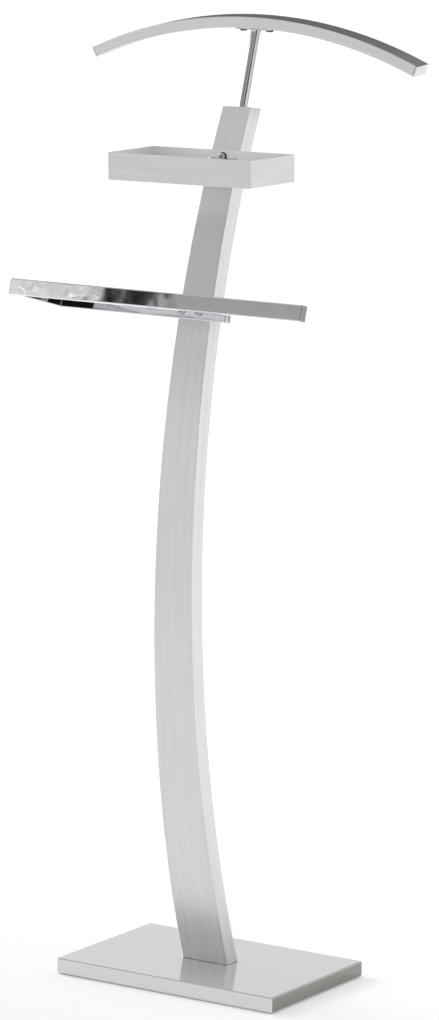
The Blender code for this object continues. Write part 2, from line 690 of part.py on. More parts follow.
def make_hanger():
    outer, inner = HANGER_RADIUS, HANGER_RADIUS - HANGER_TALL
    cap_angle = (HANGER_CAP + GAP) / HANGER_RADIUS
    end = HANGER_HALF_ANGLE - cap_angle
    bar = arched_bar(
        "hanger_bar", inner, outer, end, HANGER_DEPTH, HANGER_STEPS, SATIN_SILVER, HANGER_CENTRE
    )
    open_ends(bar, 0)
    bevel(bar, HANGER_EDGE)
    wall(bar, HANGER_WALL)

    for name, side in (("hanger_end_cap_left", -1), ("hanger_end_cap_right", 1)):
        plate = HANGER_CAP / 2
        middle = (inner + outer) / 2
        bm = box_mesh((HANGER_CAP, HANGER_DEPTH, HANGER_TALL), (0.0, 0.0, middle))
        face = [f for f in bm.faces if f.normal.x * side < -0.9]
        bmesh.ops.inset_region(bm, faces=face, thickness=HANGER_WALL + 2 * GAP, use_even_offset=True)
        drawn = bmesh.ops.extrude_face_region(bm, geom=face)
        bmesh.ops.delete(bm, geom=face, context="FACES_ONLY")
        pulled = [item for item in drawn["geom"] if isinstance(item, bmesh.types.BMVert)]
        bmesh.ops.translate(bm, verts=pulled, vec=(-side * HANGER_PLUG, 0.0, 0.0))
        cap = add_object(name, bm, SATIN_SILVER, HANGER_CENTRE)
        bevel(cap, 0.0005)
        angle = side * (HANGER_HALF_ANGLE - plate / HANGER_RADIUS)
        cap.rotation_euler = (0.0, angle, 0.0)

    saddle_outer = inner - GAP
    saddle_inner = saddle_outer - SADDLE_THICKNESS
    half = math.asin(SADDLE_LENGTH / 2 / saddle_outer)
    saddle = arched_bar(
        "hanger_saddle", saddle_inner, saddle_outer, half, SADDLE_WIDTH, 8, ZINC, HANGER_CENTRE
    )
    for number, side in enumerate((-1, 1), 1):
        angle = side * math.asin(HANGER_SCREW_SPACING / 2 / inner)
        leant = (0.0, angle, 0.0)
        screw_place = empty(f"hanger_screw_place_{number}", ORIGIN, leant, HANGER_CENTRE)
        underside = (0.0, 0.0, inner)
        for piece in (bar, saddle):
            hole = (f"{piece.name}_hole_{number}", HANGER_SCREW_HOLE, -0.006, 0.006)
            drill(piece, *hole, underside, parent=screw_place)
        head = (0.0045, 0.0024)
        shank = (0.0021, 0.0095)
        screw = socket_screw(f"hanger_screw_{number}", *head, *shank, BLACK_OXIDE, screw_place)
        screw.location = (0.0, 0.0, saddle_inner - GAP)
        screw.rotation_euler = (math.pi, 0.0, 0.0)


# ---------------------------------------------------------------- places and assembly

RAIL_LEAN = column_lean(RAIL_HEIGHT_ON_COLUMN)
RAIL_SEAT = empty(
    "rail_seat",
    (0.0, column_face(RAIL_HEIGHT_ON_COLUMN), RAIL_HEIGHT_ON_COLUMN),
    (-RAIL_LEAN, RAIL_TILT, 0.0),
)
RAIL_SEAT.rotation_mode = "ZYX"
ALONG_RAIL_BOLT = (math.pi / 2, 0.0, 0.0)  # local +Z points out of the column, to the front

POST_PLACE = empty("post_place", POST_FOOT, (-POST_LEAN, 0.0, 0.0))
HANGER_SWIVEL = empty("hanger_swivel", ORIGIN, (0.0, 0.0, HANGER_TURN), POST_PLACE)
HANGER_SEAT = empty("hanger_seat", (0.0, 0.0, POST_LENGTH), (HANGER_PITCH, 0.0, 0.0), HANGER_SWIVEL)
HANGER_CENTRE = empty("hanger_arc_centre", (0.0, 0.0, HANGER_TALL - HANGER_RADIUS), parent=HANGER_SEAT)

make_base()
make_column()
make_post(make_column_cap())
make_tray()
make_rail()
make_hanger()
bpy.context.view_layer.update()
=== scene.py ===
import math

import bmesh
import bpy
from mathutils import Euler, Matrix, Vector


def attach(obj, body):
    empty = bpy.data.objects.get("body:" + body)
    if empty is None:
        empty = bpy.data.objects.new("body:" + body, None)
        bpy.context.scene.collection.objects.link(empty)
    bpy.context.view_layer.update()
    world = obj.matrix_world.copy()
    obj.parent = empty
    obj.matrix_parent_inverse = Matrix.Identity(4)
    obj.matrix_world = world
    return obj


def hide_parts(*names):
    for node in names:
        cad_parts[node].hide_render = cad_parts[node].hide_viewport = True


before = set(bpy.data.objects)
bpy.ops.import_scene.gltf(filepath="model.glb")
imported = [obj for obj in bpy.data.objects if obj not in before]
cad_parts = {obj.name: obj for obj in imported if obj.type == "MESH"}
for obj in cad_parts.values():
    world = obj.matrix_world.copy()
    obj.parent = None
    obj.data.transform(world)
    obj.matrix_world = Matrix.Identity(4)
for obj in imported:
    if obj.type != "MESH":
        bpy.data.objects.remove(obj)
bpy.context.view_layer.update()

# ---------------------------------------------------------------- base cover
# A shallow lid pressed from 1 mm steel sheet, sprayed with silver and then lacquered until it
# shines like glass. It hides the weight, and the column stands on it.

AIR = 0.0003  # left between pieces that touch
COVER_SIZE = (0.300, 0.184, 0.017)
COVER_RIM = 0.0018
COVER_TOP = COVER_RIM + COVER_SIZE[2]
COVER_CORNER = 0.0018
COVER_EDGE = 0.0012
SHEET = 0.001
SAWN_EDGE = 0.0003


def nothing_selected():
    """Leaves object mode with no object selected, so that the next operator acts on one piece."""
    if bpy.context.mode != "OBJECT":
        bpy.ops.object.mode_set(mode="OBJECT")
    bpy.ops.object.select_all(action="DESELECT")


def pick(piece):
    """Selects one piece, and nothing else, for the next operator."""
    nothing_selected()
    piece.select_set(True)
    bpy.context.view_layer.objects.active = piece


def choose(piece, kind, wanted):
    """In edit mode, selects the verts, edges or faces that wanted accepts, and no others."""
    if bpy.context.mode == "OBJECT":
        bpy.ops.object.mode_set(mode="EDIT")
    bpy.context.tool_settings.mesh_select_mode = [kind == k for k in ("verts", "edges", "faces")]
    bpy.ops.mesh.select_all(action="DESELECT")
    mesh = bmesh.from_edit_mesh(piece.data)
    for item in getattr(mesh, kind):
        if wanted(item):
            item.select_set(True)
    bmesh.update_edit_mesh(piece.data)


def settle(piece, place=None):
    """Puts a piece where it belongs and moves that place into its mesh."""
    pick(piece)
    if place is not None:
        piece.matrix_world = place
    bpy.ops.object.transform_apply(location=True, rotation=True, scale=True)
    return piece


def shape_with(piece, kind, **settings):
    """Adds a modifier and applies it."""
    pick(piece)
    added = piece.modifiers.new(kind.lower(), kind)
    for name, value in settings.items():
        setattr(added, name, value)
    bpy.ops.object.modifier_apply(modifier=added.name)


def shade(piece, degrees=30):
    """Shades smoothly over rounded edges while the large faces beside them stay flat."""
    pick(piece)
    bpy.ops.object.shade_smooth_by_angle(angle=math.radians(degrees))
    shape_with(piece, "WEIGHTED_NORMAL", keep_sharp=True)


nothing_selected()
centre = (0.0, 0.0, COVER_RIM + COVER_SIZE[2] / 2)
bpy.ops.mesh.primitive_cube_add(size=1.0, location=centre, scale=COVER_SIZE)
cover = bpy.context.object
cover.name = "lacquered_cover"
settle(cover)
choose(cover, "edges", lambda e: abs(e.verts[0].co.z - e.verts[1].co.z) > SHEET)
bpy.ops.mesh.bevel(offset=COVER_CORNER, segments=8, affect="EDGES")
choose(cover, "edges", lambda e: min(v.co.z for v in e.verts) > COVER_TOP - SHEET)
bpy.ops.mesh.bevel(offset=COVER_EDGE, segments=5, affect="EDGES")
choose(cover, "faces", lambda f: f.normal.z < -0.9)
bpy.ops.mesh.delete(type="FACE")
shape_with(cover, "SOLIDIFY", thickness=SHEET, offset=-1.0, use_even_offset=True)
shade(cover)


def linear(code):
    """An sRGB hex colour as linear red, green, blue and alpha."""
    parts = [int(code[i : i + 2], 16) / 255 for i in (1, 3, 5)]
    return [c / 12.92 if c <= 0.04045 else ((c + 0.055) / 1.055) ** 2.4 for c in parts] + [1.0]


def new_material(name):
    made = bpy.data.materials.new(name)
    made.use_nodes = True
    return made, made.node_tree.nodes["Principled BSDF"]


def add_node(material, kind, links=None, values=None, **settings):
    """Adds a node to a material: its settings, what its inputs are linked to, and their values."""
    added = material.node_tree.nodes.new(kind)
    for name, value in settings.items():
        setattr(added, name, value)
    for name, value in (values or {}).items():
        added.inputs[name].default_value = value
    for name, source in (links or {}).items():
        material.node_tree.links.new(source, added.inputs[name])
    return added


# Silver basecoat under clear two-pack lacquer: bright flakes deep in it, a wet shine on top and
# the faint orange peel that spraying leaves, about 4 mm from crest to crest.
lacquer, shader = new_material("silver_basecoat_under_gloss_lacquer")
shader.inputs["Metallic"].default_value = 0.9
shader.inputs["Coat Weight"].default_value = 1.0
shader.inputs["Coat Roughness"].default_value = 0.02
at = add_node(lacquer, "ShaderNodeTexCoord").outputs["Object"]
flakes = add_node(
    lacquer, "ShaderNodeTexNoise", {"Vector": at}, {"Scale": 1 / 0.0008, "Detail": 2.0}
)
flake_tone = add_node(lacquer, "ShaderNodeValToRGB", {"Fac": flakes.outputs["Fac"]})
flake_tone.color_ramp.elements[0].position = 0.3
flake_tone.color_ramp.elements[0].color = linear("#CECECC")
flake_tone.color_ramp.elements[1].position = 0.7
flake_tone.color_ramp.elements[1].color = linear("#DBDBD8")
cloud = add_node(lacquer, "ShaderNodeTexNoise", {"Vector": at}, {"Scale": 1 / 0.05, "Detail": 3.0})
haze = add_node(
    lacquer,
    "ShaderNodeMapRange",
    {"Value": cloud.outputs["Fac"]},
    {"From Min": 0.3, "From Max": 0.7, "To Min": 0.07, "To Max": 0.12},
)
peel = add_node(lacquer, "ShaderNodeTexNoise", {"Vector": at}, {"Scale": 1 / 0.004, "Detail": 1.0})
peel_bump = add_node(
    lacquer,
    "ShaderNodeBump",
    {"Height": peel.outputs["Fac"]},
    {"Strength": 0.04, "Distance": 0.0002},
)
lacquer.node_tree.links.new(flake_tone.outputs["Color"], shader.inputs["Base Color"])
lacquer.node_tree.links.new(haze.outputs["Result"], shader.inputs["Roughness"])
lacquer.node_tree.links.new(peel_bump.outputs["Normal"], shader.inputs["Coat Normal"])
cover.data.materials.append(lacquer)
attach(cover, "stand")
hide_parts("base_cover")

# ---------------------------------------------------------------- what the cover hides
# An iron slab keeps the stand upright. A black fibreboard screwed to the slab closes the cover
# from below, and a thin foam pad glued to the board spares the floor. All keep their CAD shape.


def dress(names, material):
    """Gives CAD nodes a finish."""
    for name in names:
        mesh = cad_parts[name].data
        mesh.materials.clear()
        mesh.materials.append(material)


# Sand-cast iron under one coat of black paint: grains of about 1.5 mm show through.
iron, shader = new_material("black_painted_cast_iron")
shader.inputs["Metallic"].default_value = 0.1
at = add_node(iron, "ShaderNodeTexCoord").outputs["Object"]
grain = add_node(iron, "ShaderNodeTexNoise", {"Vector": at}, {"Scale": 1 / 0.0015, "Detail": 4.0})
tone = add_node(iron, "ShaderNodeValToRGB", {"Fac": grain.outputs["Fac"]})
tone.color_ramp.elements[0].color = linear("#1C1C1E")
tone.color_ramp.elements[1].color = linear("#4A4A4D")
dull = add_node(
    iron, "ShaderNodeMapRange", {"Value": grain.outputs["Fac"]}, {"To Min": 0.55, "To Max": 0.85}
)
lumps = add_node(
    iron,
    "ShaderNodeBump",
    {"Height": grain.outputs["Fac"]},
    {"Strength": 0.6, "Distance": 0.0003},
)
iron.node_tree.links.new(tone.outputs["Color"], shader.inputs["Base Color"])
iron.node_tree.links.new(dull.outputs["Result"], shader.inputs["Roughness"])
iron.node_tree.links.new(lumps.outputs["Normal"], shader.inputs["Normal"])
dress(["base_weight"], iron)

# Black-dyed fibreboard: short felted fibres, drawn 3 mm long and 0.5 mm apart.
board, shader = new_material("black_fibreboard")
shader.inputs["Specular IOR Level"].default_value = 0.3
at = add_node(board, "ShaderNodeTexCoord").outputs["Object"]
lie = add_node(board, "ShaderNodeMapping", {"Vector": at}, {"Scale": (1 / 0.003, 1 / 0.0005, 1.0)})
fibre = add_node(
    board,
    "ShaderNodeTexNoise",
    {"Vector": lie.outputs["Vector"]},
    {"Scale": 1.0, "Distortion": 1.5},
)
tone = add_node(board, "ShaderNodeValToRGB", {"Fac": fibre.outputs["Fac"]})
tone.color_ramp.elements[0].color = linear("#161616")
tone.color_ramp.elements[1].color = linear("#343331")
dull = add_node(
    board, "ShaderNodeMapRange", {"Value": fibre.outputs["Fac"]}, {"To Min": 0.65, "To Max": 0.9}
)
fuzz = add_node(
    board,
    "ShaderNodeBump",
    {"Height": fibre.outputs["Fac"]},
    {"Strength": 0.4, "Distance": 0.0001},
)
board.node_tree.links.new(tone.outputs["Color"], shader.inputs["Base Color"])
board.node_tree.links.new(dull.outputs["Result"], shader.inputs["Roughness"])
board.node_tree.links.new(fuzz.outputs["Normal"], shader.inputs["Normal"])
dress(["base_bottom_board"], board)

# Closed-cell foam, charcoal: skinned cells of about 1 mm, quite matt.
foam, shader = new_material("charcoal_closed_cell_foam")
shader.inputs["Specular IOR Level"].default_value = 0.2
shader.inputs["Sheen Weight"].default_value = 0.15
at = add_node(foam, "ShaderNodeTexCoord").outputs["Object"]
cells = add_node(foam, "ShaderNodeTexVoronoi", {"Vector": at}, {"Scale": 1 / 0.001})
tone = add_node(foam, "ShaderNodeValToRGB", {"Fac": cells.outputs["Distance"]})
tone.color_ramp.elements[0].color = linear("#303032")
tone.color_ramp.elements[1].color = linear("#121213")
dull = add_node(
    foam, "ShaderNodeMapRange", {"Value": cells.outputs["Distance"]}, {"To Min": 0.8, "To Max": 1.0}
)
dimples = add_node(
    foam,
    "ShaderNodeBump",
    {"Height": cells.outputs["Distance"]},
    {"Strength": 0.5, "Distance": 0.0002},
    invert=True,
)
foam.node_tree.links.new(tone.outputs["Color"], shader.inputs["Base Color"])
foam.node_tree.links.new(dull.outputs["Result"], shader.inputs["Roughness"])
foam.node_tree.links.new(dimples.outputs["Normal"], shader.inputs["Normal"])
dress(["base_floor_pad"], foam)

# Bright zinc plate with a clear passivate: cool grey, with a cloudy bluish bloom a few mm wide
# and the fine marks of barrel plating.
zinc, shader = new_material("bright_zinc_plate")
shader.inputs["Metallic"].default_value = 1.0
at = add_node(zinc, "ShaderNodeTexCoord").outputs["Object"]
bloom = add_node(zinc, "ShaderNodeTexNoise", {"Vector": at}, {"Scale": 1 / 0.004, "Detail": 3.0})
tone = add_node(zinc, "ShaderNodeValToRGB", {"Fac": bloom.outputs["Fac"]})
tone.color_ramp.elements[0].color = linear("#A9AEB6")
tone.color_ramp.elements[1].color = linear("#D3D4D2")
dull = add_node(
    zinc, "ShaderNodeMapRange", {"Value": bloom.outputs["Fac"]}, {"To Min": 0.18, "To Max": 0.42}
)
marks = add_node(zinc, "ShaderNodeTexNoise", {"Vector": at}, {"Scale": 1 / 0.0004})
dents = add_node(
    zinc,
    "ShaderNodeBump",
    {"Height": marks.outputs["Fac"]},
    {"Strength": 0.15, "Distance": 0.00005},
)
zinc.node_tree.links.new(tone.outputs["Color"], shader.inputs["Base Color"])
zinc.node_tree.links.new(dull.outputs["Result"], shader.inputs["Roughness"])
zinc.node_tree.links.new(dents.outputs["Normal"], shader.inputs["Normal"])
dress([f"board_screw_{number}" for number in range(1, 5)], zinc)
dress(["foot_bolt_1", "foot_bolt_2", "foot_washer_1", "foot_washer_2"], zinc)
dress(["column_foot_block", "rail_rivet_nut_1", "rail_rivet_nut_2"], zinc)

# ---------------------------------------------------------------- column
# A rectangular steel tube folded to a taper, bent to one long curve and brushed along its length,
# then lacquered to a satin. A plug with a bored seat for the post closes its sloping top.

BEND_RADIUS = 1.365  # of the front face
BEND_CENTRE = (0.0, 1.2983, 0.4099)
COLUMN_DEPTH = 0.022
FOOT_WIDTH = 0.0627
TOP_WIDTH = 0.0380
TOP_EDGE = Vector((0.0, 0.0646, 0.9938))
TOP_NORMAL = Vector((0.0, math.sin(math.radians(9.0)), math.cos(math.radians(9.0))))
COLUMN_CORNER = 0.0018
LOWEST = math.radians(-17.8)
HIGHEST = math.radians(26.6)
BEND_STEP = math.radians(0.45)
COLUMN_WALL = 0.0015
PLUG_DEPTH = 0.0145
PLUG_CORNER = 0.0004
PLUG_LOWEST = math.radians(24.0)
POST_FOOT = Vector((0.0, 0.0774, 0.9918))
POST_LEAN = math.radians(17.8)
POST_RADIUS = 0.0055
POST_FRAME = Matrix.Translation(POST_FOOT) @ Matrix.Rotation(-POST_LEAN, 4, "X")

taper = (TOP_WIDTH - FOOT_WIDTH) / (TOP_EDGE.z - COVER_TOP)  # change of width per metre of height
floor_width = FOOT_WIDTH - taper * COVER_TOP
up = Vector((0.0, 0.0, 1.0))


def saw(piece, point, direction, closed):
    """Cuts a piece along a plane and keeps the side that direction points away from."""
    pick(piece)
    bpy.ops.object.mode_set(mode="EDIT")
    bpy.ops.mesh.select_all(action="SELECT")
    bpy.ops.mesh.bisect(plane_co=point, plane_no=direction, use_fill=closed, clear_outer=True)
    bpy.ops.object.mode_set(mode="OBJECT")


def bent_tube(name, inset, corner, lowest):
    """The column's form, drawn in all round by inset, from an angle on the bend to its top."""
    nothing_selected()
    middle = BEND_RADIUS - COLUMN_DEPTH / 2
    bpy.ops.mesh.primitive_plane_add(size=1.0, location=(0.0, -middle, 0.0))
    made = bpy.context.object
    made.name = name
    made.scale = (floor_width, COLUMN_DEPTH - 2 * inset, 1.0)
    settle(made)
    choose(made, "verts", lambda v: True)
    bpy.ops.mesh.bevel(offset=corner, segments=6, affect="VERTICES")
    choose(made, "faces", lambda f: True)
    bpy.ops.mesh.delete(type="ONLY_FACE")
    choose(made, "edges", lambda e: True)
    bpy.ops.mesh.spin(
        steps=round((HIGHEST - lowest) / BEND_STEP),
        angle=HIGHEST - lowest,
        center=(0.0, 0.0, 0.0),
        axis=(1.0, 0.0, 0.0),
    )
    settle(made, Matrix.Translation(BEND_CENTRE) @ Matrix.Rotation(-lowest, 4, "X"))
    for vert in made.data.vertices:
        width = floor_width + taper * vert.co.z
        vert.co.x *= (width - 2 * inset) / floor_width
    choose(made, "verts", lambda v: True)
    bpy.ops.mesh.normals_make_consistent(inside=False)
    return made


column = bent_tube("brushed_column", 0.0, COLUMN_CORNER, LOWEST)
saw(column, (0.0, 0.0, COVER_TOP + AIR), -up, False)
saw(column, TOP_EDGE, TOP_NORMAL, False)
shape_with(column, "SOLIDIFY", thickness=COLUMN_WALL, offset=-1.0, use_even_offset=True)
shape_with(column, "BEVEL", width=SAWN_EDGE, segments=2, limit_method="ANGLE", angle_limit=1.0)
shade(column)

top_plug = bent_tube("column_top_plug", COLUMN_WALL + AIR, PLUG_CORNER, PLUG_LOWEST)
saw(top_plug, TOP_EDGE - TOP_NORMAL * PLUG_DEPTH, -TOP_NORMAL, True)
saw(top_plug, TOP_EDGE, TOP_NORMAL, True)
nothing_selected()
bpy.ops.mesh.primitive_cylinder_add(
    vertices=64, radius=POST_RADIUS + AIR, depth=4 * PLUG_DEPTH
)
bore = bpy.context.object
settle(bore, POST_FRAME)
shape_with(top_plug, "BOOLEAN", object=bore, operation="DIFFERENCE", solver="EXACT")
bpy.data.objects.remove(bore)
shade(top_plug)


def lay_brushing(piece, across_and_along):
    """Gives a piece a UV map in metres: U runs across the brush lines and V along them."""
    layer = piece.data.uv_layers.new(name="brushing")
    for loop in piece.data.loops:
        layer.data[loop.index].uv = across_and_along(piece.data.vertices[loop.vertex_index].co)


def round_the_bend(point):
    from_centre = point - Vector(BEND_CENTRE)
    radius = math.hypot(from_centre.y, from_centre.z)
    return point.x + radius, math.atan2(from_centre.z, -from_centre.y) * BEND_RADIUS


lay_brushing(column, round_the_bend)
lay_brushing(top_plug, round_the_bend)

# Mild steel brushed with a 180-grit belt under satin lacquer: lines a few centimetres long. Real
# ones lie 0.1 mm apart, so they are drawn 0.7 mm apart to show at all.
satin, shader = new_material("satin_brushed_steel")
shader.inputs["Metallic"].default_value = 0.85
brushing = add_node(satin, "ShaderNodeUVMap", uv_map="brushing").outputs["UV"]
lines_lie = add_node(
    satin, "ShaderNodeMapping", {"Vector": brushing}, {"Scale": (1 / 0.0007, 1 / 0.045, 1.0)}
)
lines = add_node(
    satin,
    "ShaderNodeTexNoise",
    {"Vector": lines_lie.outputs["Vector"]},
    {"Scale": 1.0, "Detail": 3.0, "Roughness": 0.6},
)
bands_lie = add_node(
    satin, "ShaderNodeMapping", {"Vector": brushing}, {"Scale": (1 / 0.006, 1 / 0.16, 1.0)}
)
bands = add_node(
    satin,
    "ShaderNodeTexNoise",
    {"Vector": bands_lie.outputs["Vector"]},
    {"Scale": 1.0, "Detail": 2.0},
)
both = add_node(
    satin,
    "ShaderNodeMath",
    {0: lines.outputs["Fac"], 1: bands.outputs["Fac"]},
    operation="ADD",
)
tone = add_node(
    satin,
    "ShaderNodeMapRange",
    {"Value": both.outputs["Value"]},
    {"From Min": 0.7, "From Max": 1.3},
)
colour = add_node(satin, "ShaderNodeValToRGB", {"Fac": tone.outputs["Result"]})
colour.color_ramp.elements[0].color = linear("#D4D5D6")
colour.color_ramp.elements[1].color = linear("#DFDFDF")
sheen = add_node(
    satin,
    "ShaderNodeMapRange",
    {"Value": both.outputs["Value"]},
    {"From Min": 0.7, "From Max": 1.3, "To Min": 0.36, "To Max": 0.31},
)
scratches = add_node(
    satin,
    "ShaderNodeBump",
    {"Height": lines.outputs["Fac"]},
    {"Strength": 0.15, "Distance": 0.00002},
)
satin.node_tree.links.new(colour.outputs["Color"], shader.inputs["Base Color"])
satin.node_tree.links.new(sheen.outputs["Result"], shader.inputs["Roughness"])
satin.node_tree.links.new(scratches.outputs["Normal"], shader.inputs["Normal"])
for piece, node in ((column, "column_tube"), (top_plug, "column_top_cap")):
    piece.data.materials.append(satin)
    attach(piece, "stand")
    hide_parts(node)

# ---------------------------------------------------------------- post bush
# A flanged bush moulded in natural nylon, pressed into the top plug. It keeps its CAD shape, as
# only its rim shows around the post.

nylon, shader = new_material("moulded_natural_nylon")
shader.inputs["Subsurface Weight"].default_value = 0.2
shader.inputs["Subsurface Scale"].default_value = 0.002
at = add_node(nylon, "ShaderNodeTexCoord").outputs["Object"]
spark = add_node(nylon, "ShaderNodeTexNoise", {"Vector": at}, {"Scale": 1 / 0.0005})
tone = add_node(nylon, "ShaderNodeValToRGB", {"Fac": spark.outputs["Fac"]})
tone.color_ramp.elements[0].color = linear("#DAD6C8")
tone.color_ramp.elements[1].color = linear("#EAE7DC")
dull = add_node(
    nylon, "ShaderNodeMapRange", {"Value": spark.outputs["Fac"]}, {"To Min": 0.35, "To Max": 0.5}
)
nylon.node_tree.links.new(tone.outputs["Color"], shader.inputs["Base Color"])
nylon.node_tree.links.new(dull.outputs["Result"], shader.inputs["Roughness"])
dress(["post_bush"], nylon)

# ---------------------------------------------------------------- tray
# A box folded from 1.2 mm steel, its seams welded and dressed, brushed along its sides. A cut-out
# low in its back takes the leaning column, and one screw just under the rim holds it there.

TRAY_SIZE = (0.194, 0.088, 0.031)
TRAY_BOTTOM = 0.916
TRAY_BACK = 0.0392
TRAY_WALL = 0.0012
TRAY_CORNER = 0.0022
TRAY_FOLD = 0.0015
NOTCH_FRONT = 0.0298
NOTCH_TOP = 0.938
NOTCH_DEPTH = 0.02
NOTCH_HEIGHT = 0.03
TRAY_SCREW_HEIGHT = 0.940
TRAY_WASHER = 0.0008

nothing_selected()
centre = (0.0, TRAY_BACK - TRAY_SIZE[1] / 2, TRAY_BOTTOM + TRAY_SIZE[2] / 2)
bpy.ops.mesh.primitive_cube_add(size=1.0, location=centre, scale=TRAY_SIZE)
tray = bpy.context.object
tray.name = "brushed_tray"
settle(tray)
choose(tray, "edges", lambda e: abs(e.verts[0].co.z - e.verts[1].co.z) > TRAY_WALL)
bpy.ops.mesh.bevel(offset=TRAY_CORNER, segments=6, affect="EDGES")
choose(tray, "edges", lambda e: max(v.co.z for v in e.verts) < TRAY_BOTTOM + TRAY_WALL)
bpy.ops.mesh.bevel(offset=TRAY_FOLD, segments=4, affect="EDGES")
choose(tray, "faces", lambda f: f.normal.z > 0.9)
bpy.ops.mesh.delete(type="FACE")
shape_with(tray, "SOLIDIFY", thickness=TRAY_WALL, offset=-1.0, use_even_offset=True)
shape_with(tray, "BEVEL", width=SAWN_EDGE, segments=2, limit_method="ANGLE", angle_limit=1.2)
nothing_selected()
notch_width = FOOT_WIDTH + taper * (TRAY_BOTTOM - COVER_TOP) + 4 * AIR
bpy.ops.mesh.primitive_cube_add(
    size=1.0,
    location=(0.0, NOTCH_FRONT + NOTCH_DEPTH / 2, NOTCH_TOP - NOTCH_HEIGHT / 2),
    scale=(notch_width, NOTCH_DEPTH, NOTCH_HEIGHT),
)
notch = bpy.context.object
settle(notch)
shape_with(tray, "BOOLEAN", object=notch, operation="DIFFERENCE", solver="EXACT")
bpy.data.objects.remove(notch)
shade(tray)
lay_brushing(tray, lambda point: (point.z, point.x + point.y))

# The tray's brushing lies under a thicker coat of lacquer with silver pigment in it, so it
# scatters more light than the column does and its inside stays bright.
thick_satin = satin.copy()
thick_satin.name = "pigmented_satin_lacquer"
thick_satin.node_tree.nodes["Principled BSDF"].inputs["Metallic"].default_value = 0.4
tray.data.materials.append(thick_satin)
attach(tray, "stand")
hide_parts("tray_body")

# The screw is a zinc-plated button head with a hexagon socket, over a blackened flat washer.


def button_head(name, radius, height, place):
    """A domed screw head with a hexagon socket, its underside on the place's z = 0."""
    nothing_selected()
    bpy.ops.mesh.primitive_cylinder_add(
        vertices=48, radius=radius, depth=height, location=(0.0, 0.0, height / 2)
    )
    head = bpy.context.object
    head.name = name
    settle(head)
    choose(head, "edges", lambda e: min(v.co.z for v in e.verts) > height / 2)
    bpy.ops.mesh.bevel(offset=0.62 * height, segments=7, affect="EDGES")
    nothing_selected()
    bpy.ops.mesh.primitive_cylinder_add(
        vertices=6, radius=0.45 * radius, depth=1.3 * height, location=(0.0, 0.0, height)
    )
    key = bpy.context.object
    settle(key)
    shape_with(head, "BOOLEAN", object=key, operation="DIFFERENCE", solver="EXACT")
    bpy.data.objects.remove(key)
    shade(head)
    return settle(head, place)


# Black oxide on steel: near black with a faint brown bloom and a low oily shine.
blackened, shader = new_material("black_oxide_steel")
shader.inputs["Metallic"].default_value = 0.85
at = add_node(blackened, "ShaderNodeTexCoord").outputs["Object"]
bloom = add_node(
    blackened, "ShaderNodeTexNoise", {"Vector": at}, {"Scale": 1 / 0.002, "Detail": 3.0}
)
tone = add_node(blackened, "ShaderNodeValToRGB", {"Fac": bloom.outputs["Fac"]})
tone.color_ramp.elements[0].color = linear("#2B2B2D")
tone.color_ramp.elements[1].color = linear("#4C4A48")
dull = add_node(
    blackened,
    "ShaderNodeMapRange",
    {"Value": bloom.outputs["Fac"]},
    {"To Min": 0.25, "To Max": 0.45},
)
blackened.node_tree.links.new(tone.outputs["Color"], shader.inputs["Base Color"])
blackened.node_tree.links.new(dull.outputs["Result"], shader.inputs["Roughness"])
to_front = Matrix.Rotation(math.radians(90), 4, "X")
seat = (0.0, TRAY_BACK - TRAY_WALL - 2 * AIR - TRAY_WASHER, TRAY_SCREW_HEIGHT)
place = Matrix.Translation(seat) @ to_front
tray_screw = button_head("tray_button_head", 0.0042, 0.0026, place)
tray_screw.data.materials.append(zinc)
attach(tray_screw, "stand")
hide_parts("tray_screw")
dress(["tray_washer"], blackened)

# ---------------------------------------------------------------- trouser rail
# An 18 by 8.5 mm flat steel tube mitred, welded to a U and chromed. Two screws through its short
# rear arm clamp it to rivet nuts in the column's face, and a plate closes each open end.

RAIL_HEIGHT = 0.7698
RAIL_TILT = math.radians(0.5)
RAIL_REACH = 0.1008
RAIL_LEFT = -0.1875
RAIL_FRONT_END = 0.2100
RAIL_REAR_END = 0.0500
RAIL_TALL = 0.018
RAIL_THICK = 0.0085
RAIL_EDGE = 0.0013
RAIL_CORNER = 0.0025
RAIL_INNER_CORNER = 0.0010
END_PLATE = 0.0015
PLATE_EDGE = 0.0004
NUT_FLANGE = 0.0008
STAND_OFF = NUT_FLANGE + 2 * AIR
RAIL_SCREW_SPACING = 0.024

lean = math.asin((RAIL_HEIGHT - BEND_CENTRE[2]) / BEND_RADIUS)
column_face = BEND_CENTRE[1] - BEND_RADIUS * math.cos(lean)
RAIL_FRAME = (
    Matrix.Translation((0.0, column_face, RAIL_HEIGHT))
    @ Euler((-lean, RAIL_TILT, 0.0), "ZYX").to_matrix().to_4x4()
)

front_line = -RAIL_REACH + RAIL_THICK / 2
rear_line = -STAND_OFF - RAIL_THICK / 2
front_end = RAIL_FRONT_END - END_PLATE - AIR
rear_end = RAIL_REAR_END - END_PLATE - AIR


def rail_block(low, high, corner):
    """A block between two opposite corners, with the upright edges of its left end rounded."""
    nothing_selected()
    centre = [(a + b) / 2 for a, b in zip(low, high)]
    size = [b - a for a, b in zip(low, high)]
    bpy.ops.mesh.primitive_cube_add(size=1.0, location=centre, scale=size)
    made = bpy.context.object
    settle(made)
    choose(
        made,
        "edges",
        lambda e: max(v.co.x for v in e.verts) < low[0] + AIR
        and abs(e.verts[0].co.z - e.verts[1].co.z) > RAIL_TALL / 2,
    )
    bpy.ops.mesh.bevel(offset=corner, segments=6, affect="EDGES")
    return made


